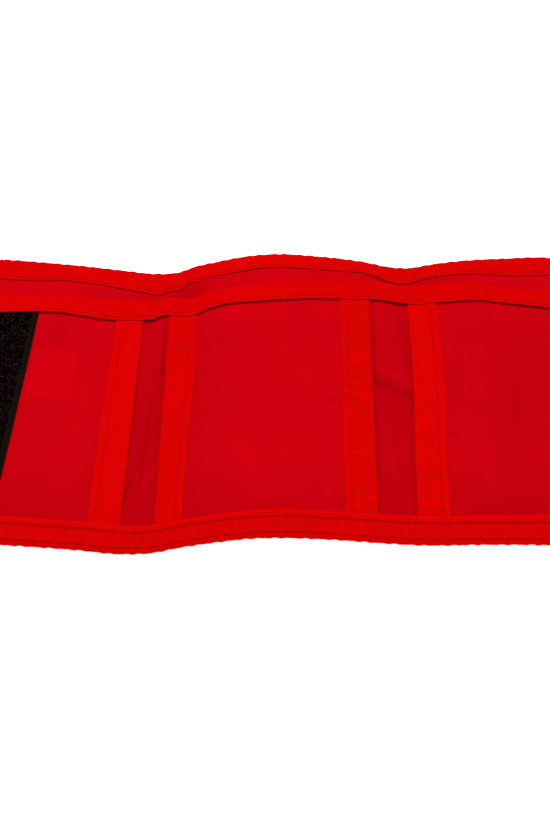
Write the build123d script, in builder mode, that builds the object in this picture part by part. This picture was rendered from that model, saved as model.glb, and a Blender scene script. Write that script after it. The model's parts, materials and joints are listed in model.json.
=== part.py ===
"""Pocket band: a long fold-up cloth strip with a row of bellows pockets on its front.

The band lies on a flat surface, pockets up.  X runs along the band, Y from its closed bottom edge to
its open top edge, Z up.  The origin is under the middle of the band, on the surface it lies on.
Every pocket panel is one module; the cloth folds at the lines between modules.
Each module is gently arched, so it stands on the surface along its two fold lines.
Cloth and tape are drawn as slabs a little thicker than the real material.
"""

import os
from math import cos, radians, sin, sqrt, tan

from build123d import *

# ---- driving dimensions, in millimetres ----
POCKETS = 5  # modules in the row
PITCH = 80.0  # fold line to fold line
BAND_HEIGHT = 125.0  # closed bottom edge to the top edge of the back
MOUTH_HEIGHT = 105.0  # closed bottom edge to the pocket mouths
END_OUT = 37.0  # outer end of an end module from its centre line
TAPE = 10.0  # showing width of every folded 20 mm tape
GAP = 10.5  # between the edge tapes of neighbouring pockets
ARCH = 4.5  # rise of each panel between its fold lines
TILT = 3.5  # degrees the pocket fronts lean up towards their mouths
CLOTH = 0.6  # cloth slab
PLY = 0.7  # one ply of tape
CLOTH_CLEAR = 0.6  # cloth to fold line
TAPE_CLEAR = 1.0  # folded tapes to fold line
MOVE_CLEAR = 0.3  # between pieces that move on each other
SEAM_CLEAR = 0.5  # bottom binding to the bottom seam line
FRONT_START = 0.8  # lower edge of a pocket front, up the slope from the seam line
STRIP_WIDTH = 25.0  # hook strip and loop strip
STRIP_THICK = 1.6
STRIP_EDGE = 0.5  # inner edge of those strips from the module's centre line
STRIP_MARGIN = 1.5  # strip ends to the tapes above and below them
LABEL_WIDTH, LABEL_HEIGHT, LABEL_THICK = 16.0, 24.0, 0.3
LABEL_X = 8.0  # centre of the label from the first pocket's centre line
LABEL_RUN = 54.0  # centre of the label, up the slope from the seam line

# ---- worked out from them ----
HALF = PITCH / 2
BOTTOM = -BAND_HEIGHT / 2
TOP = BAND_HEIGHT / 2
MOUTH = BOTTOM + MOUTH_HEIGHT
CLOTH_OUT = HALF - CLOTH_CLEAR
BINDING_OUT = HALF - TAPE_CLEAR
END_IN = END_OUT - TAPE
EDGE_OUT = HALF - GAP / 2  # folded side of an edge tape, from the module's centre line
EDGE_IN = EDGE_OUT - TAPE
RADIUS = (BINDING_OUT**2 + ARCH**2) / (2 * ARCH)
SEAM = BOTTOM + TAPE + SEAM_CLEAR
SLOPE_LENGTH = (MOUTH - SEAM) / cos(radians(TILT))

# layers, as (low, high) heights above the arched underside
BACK = (PLY, PLY + CLOTH)
GUSSET_FLOOR = (BACK[1], BACK[1] + CLOTH)
FRONT_TAPE_LOW = GUSSET_FLOOR[1] + MOVE_CLEAR
FRONT = (FRONT_TAPE_LOW + PLY, FRONT_TAPE_LOW + PLY + CLOTH)
FRONT_TAPE = (FRONT_TAPE_LOW, FRONT[1] + PLY)
TOP_TAPE = (0, BACK[1] + PLY)
SEWN_TAPE = (0, GUSSET_FLOOR[1] + PLY)  # also stands for the pocket cloth sewn in under it
LOOP_STRIP = (FRONT[1], FRONT[1] + STRIP_THICK)
HOOK_STRIP = (BACK[0] - STRIP_THICK, BACK[0])
LABEL = (FRONT[0] - LABEL_THICK, FRONT[0])

# distances along the band's height, as (low, high) in Y, and up the pocket fronts from the seam
MOUTH_RUN = (SLOPE_LENGTH - TAPE, SLOPE_LENGTH)
EDGE_RUN = (FRONT_START, SLOPE_LENGTH - TAPE)
FRONT_RUN = (FRONT_START, SLOPE_LENGTH - PLY)
LOOP_RUN = (FRONT_START + STRIP_MARGIN, SLOPE_LENGTH - TAPE)
LABEL_SPAN = (LABEL_RUN - LABEL_HEIGHT / 2, LABEL_RUN + LABEL_HEIGHT / 2)
HOOK_SPAN = (BOTTOM + TAPE + STRIP_MARGIN, TOP - TAPE - STRIP_MARGIN)
GUSSET_SPAN = (SEAM + FRONT_START, MOUTH - TAPE - MOVE_CLEAR)


def rise(x):
    """Height of the arched underside at x from the module's centre line."""
    return sqrt(RADIUS**2 - x**2) - RADIUS + ARCH


def across(centre, y):
    """Upright plane across the band's height at y, with its own axes along X and Z."""
    return Plane(origin=(centre, y, 0), x_dir=(1, 0, 0), z_dir=(0, -1, 0))


def across_slope(centre, run):
    """The same plane for pieces of a sloping pocket front, at run up the slope."""
    uphill = Vector(0, cos(radians(TILT)), sin(radians(TILT)))
    start = Vector(centre, SEAM, 0) + uphill * run
    return Plane(origin=start, x_dir=(1, 0, 0), z_dir=-uphill)


def curved_slab(plane, length, x_span, layer, mode):
    """A curved slab that follows the arch between two heights, drawn on the plane."""
    with BuildSketch(plane) as section:
        with Locations((0, ARCH - RADIUS)):
            Circle(RADIUS + layer[1])
            Circle(RADIUS + layer[0], mode=Mode.SUBTRACT)
        with Locations((sum(x_span) / 2, ARCH)):
            Rectangle(x_span[1] - x_span[0], PITCH, mode=Mode.INTERSECT)
    extrude(section.sketch, amount=-length, mode=mode)


def back_slab(centre, x_span, layer, y_span, mode=Mode.ADD):
    """A curved slab of the band's back."""
    curved_slab(across(centre, y_span[0]), y_span[1] - y_span[0], x_span, layer, mode)


def front_slab(centre, x_span, layer, run_span, mode=Mode.ADD):
    """A curved slab of a sloping pocket front."""
    length = run_span[1] - run_span[0]
    curved_slab(across_slope(centre, run_span[0]), length, x_span, layer, mode)


def wall(x_span, outline):
    """A thin upright wall across X, with its outline given as (y, z) points."""
    with BuildSketch(Plane.YZ.offset(x_span[0])) as side:
        with BuildLine() as edge:
            Polyline(*outline, close=True)
        make_face(edge.edges())
    extrude(side.sketch, amount=x_span[1] - x_span[0])


def span(side, near, far):
    """(low, high) of two distances from the centre line, on side -1 or +1."""
    return tuple(sorted((side * near, side * far)))


def save(part, label):
    """Name a finished piece and write its file."""
    part.label = label
    export_step(part, f"parts/{label}.step")


def build_back(number, centre, reach):
    """The module's piece of the back cloth; reach is its end in X on each side."""
    low, high = reach["cloth"]
    with BuildPart() as cloth:
        back_slab(centre, (low, high), BACK, (BOTTOM + PLY, TOP - PLY))
    save(cloth.part, f"back_panel_{number}")


def build_edge_bindings(number, centre, reach):
    """Folded tapes over the top edge and over the closed bottom edge."""
    low, high = reach["tape"]
    with BuildPart() as top:
        back_slab(centre, (low, high), TOP_TAPE, (TOP - TAPE, TOP))
        back_slab(centre, (low, high), BACK, (TOP - TAPE, TOP - PLY), Mode.SUBTRACT)
    save(top.part, f"top_binding_{number}")
    with BuildPart() as bottom:
        back_slab(centre, (low, high), SEWN_TAPE, (BOTTOM, BOTTOM + TAPE))
        back_slab(centre, (low, high), BACK, (BOTTOM + PLY, BOTTOM + TAPE), Mode.SUBTRACT)
    save(bottom.part, f"bottom_binding_{number}")


def build_end_binding(centre, side):
    """Folded tape over the band's end."""
    with BuildPart() as tape:
        back_slab(centre, span(side, END_IN, END_OUT), SEWN_TAPE, (BOTTOM, TOP))
        slot = span(side, END_IN, END_OUT - PLY)
        back_slab(centre, slot, BACK, (BOTTOM + PLY, TOP - PLY), Mode.SUBTRACT)
    save(tape.part, "end_binding_left" if side < 0 else "end_binding_right")


def build_front(number, centre, reach):
    """The pocket front and the folded tape over its mouth edge."""
    with BuildPart() as cloth:
        front_slab(centre, reach["front"], FRONT, FRONT_RUN)
    save(cloth.part, f"pocket_front_{number}")
    with BuildPart() as tape:
        front_slab(centre, reach["mouth"], FRONT_TAPE, MOUTH_RUN)
        slot = (MOUTH_RUN[0], FRONT_RUN[1])
        front_slab(centre, reach["front"], FRONT, slot, Mode.SUBTRACT)
    save(tape.part, f"mouth_binding_{number}")


def build_side(number, centre, side):
    """Edge tape and bellows strip along one side of a pocket."""
    name = "left" if side < 0 else "right"
    with BuildPart() as tape:
        front_slab(centre, span(side, EDGE_IN, EDGE_OUT), FRONT_TAPE, EDGE_RUN)
        front_slab(centre, span(side, EDGE_IN, EDGE_OUT - PLY), FRONT, EDGE_RUN, Mode.SUBTRACT)
    save(tape.part, f"edge_tape_{number}_{name}")

    wall_out = EDGE_IN - MOVE_CLEAR
    wall_in = wall_out - CLOTH
    foot = rise(wall_out) + sum(GUSSET_FLOOR) / 2
    low, high = GUSSET_SPAN
    head = [
        (y, (y - SEAM) * tan(radians(TILT)) + rise(wall_out) + FRONT[0] - MOVE_CLEAR)
        for y in (high, low)
    ]
    x_low, x_high = span(side, wall_in, wall_out)
    with BuildPart() as strip:
        back_slab(centre, span(side, wall_in, CLOTH_OUT), GUSSET_FLOOR, GUSSET_SPAN)
        wall((centre + x_low, centre + x_high), [(low, foot), (high, foot), *head])
    save(strip.part, f"gusset_{number}_{name}")


def build_mouth_bridge(number, centre):
    """Mouth tape across the gap to the next pocket."""
    lengths = ((centre, (EDGE_OUT, HALF)), (centre + PITCH, (-HALF, -EDGE_OUT - MOVE_CLEAR)))
    with BuildPart() as bridge:
        for middle, x_span in lengths:
            front_slab(middle, x_span, FRONT_TAPE, MOUTH_RUN)
    save(bridge.part, f"mouth_bridge_{number}")


def build_loop_strip_and_label(centre):
    """Loop strip sewn on the first pocket, and the label behind that pocket's cloth."""
    with BuildPart() as strip:
        front_slab(centre, span(-1, STRIP_EDGE, STRIP_EDGE + STRIP_WIDTH), LOOP_STRIP, LOOP_RUN)
    save(strip.part, "loop_strip")
    with BuildPart() as label:
        x_span = (LABEL_X - LABEL_WIDTH / 2, LABEL_X + LABEL_WIDTH / 2)
        front_slab(centre, x_span, LABEL, LABEL_SPAN)
    save(label.part, "pocket_label")


def build_hook_strip(centre):
    """Hook strip sewn under the back of the last panel."""
    with BuildPart() as strip:
        back_slab(centre, span(1, STRIP_EDGE, STRIP_EDGE + STRIP_WIDTH), HOOK_STRIP, HOOK_SPAN)
    save(strip.part, "hook_strip")


os.makedirs("parts", exist_ok=True)
for module in range(POCKETS):
    number = module + 1
    centre = (module - (POCKETS - 1) / 2) * PITCH
    ends = {-1: module == 0, 1: number == POCKETS}
    reach = {
        kind: tuple(side * (at_end if ends[side] else inside) for side in (-1, 1))
        for kind, at_end, inside in (
            ("cloth", END_OUT - PLY, CLOTH_OUT),
            ("tape", END_IN, BINDING_OUT),
            ("front", END_IN - MOVE_CLEAR, EDGE_OUT - PLY),
            ("mouth", END_IN - MOVE_CLEAR, EDGE_OUT),
        )
    }
    build_back(number, centre, reach)
    build_edge_bindings(number, centre, reach)
    build_front(number, centre, reach)
    for side, is_end in ends.items():
        if is_end:
            build_end_binding(centre, side)
        else:
            build_side(number, centre, side)
    if not ends[1]:
        build_mouth_bridge(number, centre)
    if ends[-1]:
        build_loop_strip_and_label(centre)
    if ends[1]:
        build_hook_strip(centre)
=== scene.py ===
"""Red cloth pocket band lying on a pale surface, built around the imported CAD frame.

Lengths inside this script are millimetres in the frame's axes: X along the band, Y from the closed
bottom edge to the open top edge, Z up.  They turn into metres when a mesh is made.
"""
import json
import math

import bpy
import numpy as np
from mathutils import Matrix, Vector


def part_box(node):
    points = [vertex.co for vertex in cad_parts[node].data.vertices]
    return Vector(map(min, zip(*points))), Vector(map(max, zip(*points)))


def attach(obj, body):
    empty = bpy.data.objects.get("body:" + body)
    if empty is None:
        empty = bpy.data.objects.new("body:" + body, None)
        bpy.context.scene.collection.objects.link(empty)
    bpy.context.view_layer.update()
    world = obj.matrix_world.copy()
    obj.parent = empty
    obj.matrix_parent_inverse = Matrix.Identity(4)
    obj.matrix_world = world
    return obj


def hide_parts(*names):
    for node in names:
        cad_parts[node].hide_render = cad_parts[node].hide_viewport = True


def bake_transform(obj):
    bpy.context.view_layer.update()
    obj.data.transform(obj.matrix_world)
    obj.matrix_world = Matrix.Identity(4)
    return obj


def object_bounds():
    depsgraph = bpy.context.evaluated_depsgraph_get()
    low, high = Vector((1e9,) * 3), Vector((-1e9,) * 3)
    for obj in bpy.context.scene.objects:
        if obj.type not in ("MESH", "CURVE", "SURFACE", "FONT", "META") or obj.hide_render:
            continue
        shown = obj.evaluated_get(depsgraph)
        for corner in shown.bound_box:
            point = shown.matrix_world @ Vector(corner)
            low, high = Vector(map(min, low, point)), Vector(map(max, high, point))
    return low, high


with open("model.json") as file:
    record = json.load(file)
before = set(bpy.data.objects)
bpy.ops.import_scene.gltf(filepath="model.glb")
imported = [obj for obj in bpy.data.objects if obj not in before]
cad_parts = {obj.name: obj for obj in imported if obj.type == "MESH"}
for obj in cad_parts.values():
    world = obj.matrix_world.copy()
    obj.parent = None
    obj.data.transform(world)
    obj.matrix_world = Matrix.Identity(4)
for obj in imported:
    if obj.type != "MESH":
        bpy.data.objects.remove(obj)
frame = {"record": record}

CAD_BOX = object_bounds()
MM = 0.001
LOW = CAD_BOX[0] / MM
HIGH = CAD_BOX[1] / MM
LEFT, RIGHT, BOTTOM, TOP = LOW.x, HIGH.x, LOW.y, HIGH.y
JOINTS = frame["record"]["behaviour"]["joints"]
FOLDS = sorted(j["pos_m"][0] / MM for j in JOINTS if j["name"].startswith("fold"))
CENTRES = sorted(j["pos_m"][0] / MM for j in JOINTS if j["name"].startswith("mouth"))
POCKETS = len(CENTRES)

# ---- cloth and tape sizes ----
BAND = TOP - BOTTOM  # height of the back
MOUTH = round(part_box("mouth_binding_3")[1].y / MM - BOTTOM)  # height of the pocket fronts
CLOTH_T = 0.2  # thickness of the cloth
CLOTH_IN = 1.2  # the cloth ends this far inside the fold of its tape
TAPE = 10.0  # showing width of a folded tape
BOTTOM_TAPE = 9.1  # showing width of the closed edge's tape, which folds over more layers
TAPE_T = 0.4  # one ply of tape
RIB = 0.85  # rib pitch of the tape
RIB_H = 0.20  # height of the ribs, which each tape's contrast scales
SELVAGE = 0.6  # raised edge of the tape
STITCH = 4.5  # length of one stitch
THREAD_R = 0.17  # radius of the sewing thread
END_IN = TAPE - 0.8  # tapes along the band stop this far in, under the end bindings' edges
GUSSET_UNDER = 3.0  # the recessed strip runs this far under the tapes beside it
WALL_OUT = TAPE + 0.8  # the bellows wall stands this far from the gap's side
STRIP_W = 25.0  # width of the loop strip and of the hook strip
STRIP_EDGE = 2.2  # smooth woven edge beside the pile
STRIP_ROW = 0.9  # the strips' sewn rows, from their sides

# sewn rows, from the fold of their tape
TOP_ROW = 8.8
MOUTH_ROW = 8.8
CLOSED_ROWS = (1.5, 6.9)
EDGE_ROW_IN = 2.2  # an edge tape's sewn row is measured from its pocket side

# width of the cloth around a fold
BEND = 5.25  # half width of the cloth that bends at a fold

# heights over the base surfaces; a stack is the under and upper side of a folded tape
BACK_STACK = (0.0, 1.2)
BOTTOM_STACK = (0.0, 1.8)
END_STACK = (-0.3, 2.75)
FRONT_STACK = (0.75, 1.95)
MOUTH_STACK = (0.4, 2.4)
BACK_H = 0.5  # underside of the back cloth
FRONT_H = 1.25  # underside of the front cloth
FOOT_H = 0.72  # underside of the bellows' foot
SQUEEZE = 0.55  # the fronts are pressed down where the closed edge's tape holds them

# tone of the tapes, where 1 is the tape's own colour: the far edge's and the mouth's tapes are
# darkened with painted shade, the edge tapes beside the gaps lightened with painted light
BINDING_PAINTED_SHADE = 0.915  # the far edge's tape and the mouth's tape
EDGE_TAPE_PAINTED_LIGHT = 1.03

# ---- how the band lies: (position along the band, value) ----
# Z is a height above the floor, Y a shift towards the open edge, ROLL a bulge of the cloth
BACK_EDGE_Z = (
    (-197, 3.4), (-176, 4.1), (-162, 3.0), (-147, 2.0), (-133, 1.3), (-121, 1.2), (-113, 1.6),
    (-102, 3.4), (-95, 5.1), (-87, 6.7), (-79, 7.5), (-64, 6.4), (-50, 4.1), (-38, 1.8),
    (-31, 1.4), (-22, 2.9), (-12, 4.6), (2, 6.0), (17, 6.6), (30, 3.6), (40, 1.4), (52, 3.4),
    (80, 7.0), (108, 3.4), (120, 1.4), (132, 3.2), (160, 6.0), (185, 3.0), (197, 1.8),
)
BACK_EDGE_Y = (
    (-197, 0), (-160, 0.2), (-147, -0.6), (-132, -2.0), (-121, -3.3), (-113, -2.9), (-107, -0.9),
    (-100, -0.3), (-90, 0.1), (-79, 0.1), (-68, 0.2), (-50, 0.5), (-36, 0), (-22, 0.7),
    (-5, 0.6), (17, 0.5), (40, 0.4), (80, 0.2), (197, 0),
)
HEM_Y = (  # shift of the lower edge of the far edge's tape
    (-197, 0), (-125, 0), (-122, -0.2), (-119.5, -0.7), (-117.3, 0.5), (-113.8, 0.5), (-111, 0.2),
    (-109.2, 1.0), (-107.5, 0.8), (-105.5, -0.7), (-103, -0.4), (-99, 0), (-90, 0), (197, 0),
)
BACK_ROLL = (
    (-197, 0.2), (-176, -0.2), (-163, 0), (-152, 1.0), (-140, 0.8), (-128, 0), (-118, -0.4),
    (-110, 0.6), (-103, 3.0), (-96, 2.8), (-80, 3.6), (-65, 3.4), (-53, 4.0), (-47, 4.4),
    (-40, 2.2), (-34, 1.8), (-28, 3.2), (-20, 3.8), (-10, 3.0), (0, 1.6), (10, 1.0), (20, 1.6),
    (40, 0.8), (80, 3.0), (120, 0.8), (160, 2.0), (197, 0.6),
)
CLOSED_EDGE_Z = (
    (-197, 1.2), (-176, 1.8), (-160, 1.8), (-141, 1.2), (-123, 0.3), (-115, 0.4), (-107, 1.2),
    (-97, 2.6), (-78, 4.7), (-59, 4.1), (-46, 3.0), (-34, 2.5), (-15, 3.2), (4, 3.6), (20, 2.6),
    (40, 0.5), (60, 2.4), (80, 3.8), (100, 2.4), (120, 0.4), (140, 2.4), (165, 3.4), (185, 2.6),
    (197, 1.0),
)
CLOSED_EDGE_Y = (
    (-197, 0.4), (-162, 0.25), (-149, -0.3), (-137, -0.9), (-124, -1.7), (-115, -1.3),
    (-107, 0.1), (-97, 1.0), (-86, 1.6), (-76, 1.5), (-60, 1.4), (-46, 1.2), (-34, 0.9),
    (-15, 0.8), (4, 0.5), (40, 0.4), (197, 0.2),
)
CLOSED_ROLL = ((-197, 1.6), (-140, 2.0), (-120, 1.6), (-80, 1.6), (-40, 2.3), (0, 2.6), (197, 2.0))
MOUTH_EDGE_Z = (
    (-197, 4.2), (-174, 5.6), (-153, 5.6), (-136, 5.2), (-128, 6.0), (-121, 6.8), (-117, 8.2),
    (-112, 8.9), (-104, 9.6), (-91, 10.7), (-79, 12.0), (-60, 12.4), (-48, 11.3), (-36, 10.0),
    (-24, 11.0), (-9, 12.2), (15, 9.8), (30, 8.4), (40, 7.8), (55, 9.4), (80, 11.5), (105, 9.4),
    (120, 7.8), (135, 9.4), (160, 9.8), (180, 6.0), (197, 3.6),
)
MOUTH_EDGE_Y = (
    (-197, 0.2), (-168, 0.4), (-160, 0.9), (-152, 1.5), (-144, 1.0), (-132, 0.7), (-125, 0.4),
    (-121.5, 0.1), (-119, -0.6), (-116.2, 0.4), (-112.5, -0.9), (-109, -3.0), (-105, -2.9),
    (-101, -0.8),
    (-97, 0.2), (-82, 0.6), (-74, 1.0), (-58, 1.0), (-51, 1.8), (-47, 2.9), (-43, 3.0),
    (-38, 2.5), (-31, 1.5), (-25, 1.6), (-12, 1.2), (-6, 0), (0, -0.7), (10, -0.7), (40, 1.0),
    (80, 0.5), (120, 1.2), (160, 0.4), (197, 0.1),
)
MOUTH_ROLL = (
    (-197, 0.6), (-174, 1.4), (-150, 1.2), (-136, 0.2), (-122, 0.6), (-105, 1.8), (-80, 2.6),
    (-60, 2.4), (-36, 1.6), (0, 2.4), (40, 1.4), (80, 2.4), (120, 1.2), (160, 1.6), (197, 0.6),
)
# how the back's roll grows and ends: (height up the band, share of the roll)
ROLL_SHAPE = ((0, 0.0), (50, 0.15), (95, 0.72), (112, 1.0), (119, 0.6), (125, 0.0))

# each gap's left and right side, at the closed edge and at the mouth, from the fold line
GAP_LINES = (
    ((-5.0, -2.9), (5.1, 5.7)),
    ((-6.6, -7.2), (5.0, 5.6)),
    ((-5.2, -5.4), (5.2, 5.2)),
    ((-5.3, -5.2), (5.3, 5.4)),
)
# how much of the tape on each gap's left and right shows
GAP_TAPES = ((10.0, 8.8), (10.0, 10.0), (9.9, 10.0), (10.0, 9.8))

# creases: (position along the band, height up the band, lean in degrees, length, width, depth)
FRONT_CREASES = (
    (-59.8, 53, 10, 3.2, 0.8, -0.7), (-59.5, 35, 8, 3.4, 0.8, -0.6), (-66, 17, 20, 3.5, 0.9, -0.5),
    (-25, 42, -30, 3.5, 1.0, -0.7), (-101, 18, 60, 5, 1.2, 0.4), (-92, 93, 80, 8, 2.5, 0.5),
    (-70, 91, 100, 9, 3.0, -0.5), (-21, 62, 82, 14, 2.0, -0.5), (-12, 26, 100, 12, 3.0, 0.6),
    (-2, 50, 84, 18, 3.5, -0.5), (-142, 52, 85, 26, 3.0, 0.5), (-133, 40, 80, 20, 2.5, -0.4),
    (-152, 88, 70, 12, 3.5, -0.5), (-88, 30, 110, 14, 3.0, 0.4), (60, 50, 80, 16, 3.0, 0.5),
    (52, 30, 15, 4, 0.9, -0.6), (96, 80, 110, 12, 2.5, -0.5), (140, 30, 60, 8, 2.0, 0.5),
    (172, 60, 95, 16, 2.5, -0.5),
)
GAP_CREASES = (
    (-114.6, 83, 89, 17, 0.8, 1.2), (-116.2, 84, 88, 15, 0.8, -0.7),
    (-115, 70, -40, 3.6, 0.9, -1.2), (-120.5, 40, 86, 20, 1.3, -0.6),
    (-118.5, 26, 70, 10, 1.2, 0.6), (-123, 24, 60, 5, 0.8, -0.7),
    (-41, 60, -36, 7.5, 1.7, -1.3), (-40, 65, -36, 7, 1.8, 0.7), (-37, 86, 92, 12, 1.1, -0.6),
    (-43, 88, 90, 12, 1.6, 0.4), (-42, 34, 100, 14, 1.8, 0.6),
    (38, 70, 95, 14, 1.4, 0.8), (42, 40, 50, 7, 1.2, -0.9), (118, 60, 92, 18, 1.4, 0.8),
    (122, 34, -45, 6, 1.2, -0.8),
)
BACK_CREASES = (
    (-26.5, 110, 90, 8, 0.8, -0.6), (-8.3, 110, 85, 8, 0.8, -0.5), (-100, 110, 110, 7, 1.6, 0.5),
    (-143, 110, 90, 9, 2.2, -0.4), (-73, 108, 95, 9, 3.0, 0.3), (56, 110, 90, 8, 1.5, 0.5),
    (104, 109, 85, 8, 2.0, -0.4), (150, 110, 95, 9, 2.0, 0.4),
)

# painted shade: stretches of cloth darkened where they lie in fold hollows or sag away from the
# light: (position along the band, width, depth)
FRONT_PAINTED_SHADE = ((-103, 12, 0.06), (-160, 40, 0.055), (0, 30, 0.08), (122, 20, 0.05))
BACK_PAINTED_SHADE = (
    (-133, 9, 0.05), (-110, 8, 0.17), (-40, 12, 0.07), (-22, 12, 0.08), (40, 20, 0.07),
    (120, 20, 0.07),
)
# where the pocket fronts lie a little off their straight lines:
# (position along the band, height up the pocket, width, height of the stretch, sideways shift)
SWAYS = ((-28, 62, 16, 28, 1.2), (-107, 74, 6, 18, 0.9), (-132, 84, 6, 22, 0.8))


def line(points):
    """A smooth line through (position, value) points, as a function of position."""
    xs, ys = (np.array(c, float) for c in zip(*points))
    slopes = np.gradient(ys, xs)

    def value(x):
        x = np.clip(np.asarray(x, float), xs[0], xs[-1])
        i = np.clip(np.searchsorted(xs, x) - 1, 0, len(xs) - 2)
        w = xs[i + 1] - xs[i]
        t = (x - xs[i]) / w
        return (
            ys[i] * (2 * t**3 - 3 * t**2 + 1)
            + ys[i + 1] * (3 * t**2 - 2 * t**3)
            + slopes[i] * w * (t**3 - 2 * t**2 + t)
            + slopes[i + 1] * w * (t**3 - t**2)
        )

    return value


def step(t):
    """A smooth step from 0 at t = 0 to 1 at t = 1."""
    t = np.clip(t, 0, 1)
    return t * t * (3 - 2 * t)


def hill(x, middle, width):
    """A smooth bump of height 1."""
    return np.exp(-(((x - middle) / width) ** 2))


back_z, back_y, back_roll = line(BACK_EDGE_Z), line(BACK_EDGE_Y), line(BACK_ROLL)
hem_y = line(HEM_Y)
closed_z, closed_y, closed_roll = line(CLOSED_EDGE_Z), line(CLOSED_EDGE_Y), line(CLOSED_ROLL)
mouth_z, mouth_y, mouth_roll = line(MOUTH_EDGE_Z), line(MOUTH_EDGE_Y), line(MOUTH_ROLL)
roll_shape = line(ROLL_SHAPE)


def creased(x, v, creases):
    """Height of the creases: narrow ridges and grooves that fade at their ends."""
    total = np.zeros(np.broadcast(x, v).shape)
    for cx, cv, lean, length, width, depth in creases:
        turn = math.radians(lean)
        along = (x - cx) * math.cos(turn) + (v - cv) * math.sin(turn)
        aside = (v - cv) * math.cos(turn) - (x - cx) * math.sin(turn)
        total = total + depth * hill(along, 0, length) * hill(aside, 0, width)
    return total


def back_base(x, v):
    """Underside of the band's back at v up from the closed edge."""
    x, v = np.broadcast_arrays(np.asarray(x, float), np.asarray(v, float))
    t = v / BAND
    z = closed_z(x) * (1 - t) + (back_z(x) - BACK_STACK[1]) * t
    z = z + back_roll(x) * roll_shape(v) + closed_roll(x) * step(v / 12) * (1 - t) ** 2
    z = z + creased(x, v, BACK_CREASES) * step((BAND - TAPE - v) / 4)
    y = BOTTOM + v + closed_y(x) * (1 - t) + back_y(x) * t
    y = y + hem_y(x) * hill(v, BAND - TAPE, 5.0)
    return np.stack([x, y, z], -1)


def ripples(x, s):
    """Small unevenness of the pocket cloth."""
    soft = 0.22 * np.sin(x / 9.0 + 0.7 + s / 31.0) * np.sin(s / 17.0 + x / 43.0)
    fine = 0.10 * np.sin(x / 4.1 - s / 9.5) * np.sin(s / 13.0 + 1.1 + x / 29.0)
    return soft + fine


def pressed(s):
    """How far the closed edge's tape presses the fronts down at s up from the closed edge."""
    return SQUEEZE * (1 - step((s - 8) / 8))


def front_base(x, s):
    """The pocket fronts' base surface at s up from the closed edge."""
    x, s = np.broadcast_arrays(np.asarray(x, float), np.asarray(s, float))
    back = back_base(x, s)
    edge = mouth_z(x) - MOUTH_STACK[1] - back_base(x, np.full_like(x, MOUTH))[..., 2]
    t = np.clip((s - TAPE) / (MOUTH - TAPE), 0, 1)
    rise = 1 - (1 - t) ** 1.35
    inner = step((s - TAPE) / 12) * step((MOUTH - 6 - s) / 12)
    under_tape = 1 - step((s - MOUTH + TAPE + 2) / (TAPE + 4)) * 1.15
    lift = edge * rise + mouth_roll(x) * step((t - 0.35) / 0.54) * under_tape
    y = back[..., 1] + mouth_y(x) * t
    sway = sum(shift * hill(x, x0, wide) * hill(s, s0, tall) for x0, s0, wide, tall, shift in SWAYS)
    return np.stack([x + sway, y, back[..., 2] + lift + inner * ripples(x, s) - pressed(s)], -1)


def painted_shade_along(x, shades):
    """Tone of cloth darkened by painted shade at some places along the band."""
    return 1 - sum(depth * hill(x, middle, width) for middle, width, depth in shades)


def painted_crease_shading(x, v, creases):
    """Painted shade and highlight of creased cloth: paler on ridges, darker in grooves."""
    return 1 + 0.10 * np.clip(creased(x, v, creases) / 0.7, -1, 1)


def raised(base, x, v, h):
    """Points h above a base surface, along its normal."""
    near = 0.3
    across_x = base(x + near, v) - base(x - near, v)
    across_v = base(x, v + near) - base(x, v - near)
    normal = np.cross(across_x, across_v)
    normal /= np.linalg.norm(normal, axis=-1, keepdims=True)
    return base(x, v) + normal * np.asarray(h)[..., None]


# ---- meshes ----
SHARP_ANGLE = 45  # degrees: edges that turn more than this aren't smoothed


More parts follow.
